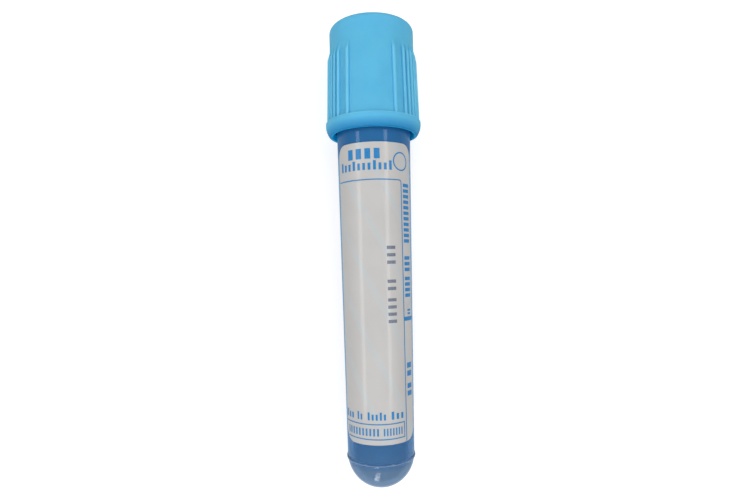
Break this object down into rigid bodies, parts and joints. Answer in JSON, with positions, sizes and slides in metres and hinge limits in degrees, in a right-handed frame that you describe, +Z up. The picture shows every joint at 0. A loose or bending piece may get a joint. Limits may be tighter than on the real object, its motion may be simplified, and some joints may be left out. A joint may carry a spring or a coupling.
{
  "type": "blood collection tube",
  "caption": "Round-bottom blood collection tube lying down, with a label, a dried additive coat and a pull-off safety closure over a rubber stopper.",
  "frame": {"origin": "on the surface it lies on, under the middle of its bounding box", "axes": "+Z up, +Y towards the closure along the lying tube, +X across it"},
  "size_m": [0.0174, 0.0834, 0.0174],
  "materials": {
    "tube": "clear, moulded, faint blue",
    "additive": "dried thin coat",
    "label": "satin label stock",
    "stopper": "matt",
    "shield": "satin"
  },
  "bodies": {
    "tube": {"tube": "tube", "additive_coat": "additive", "label": "label"},
    "stopper": {"rubber_stopper": "stopper"},
    "shield": {"cap_shield": "shield"}
  },
  "joints": [
    {"name": "closure_pull", "type": "slide", "parent": "tube", "child": "stopper", "axis": [0, 0.9991, 0.0425], "range_m": [0, 0.025]},
    {"name": "closure_twist", "type": "hinge", "parent": "stopper", "child": "shield", "pos_m": [0, 0.03328, 0.00911], "axis": [0, 0.9991, 0.0425], "continuous": true}
  ]
}
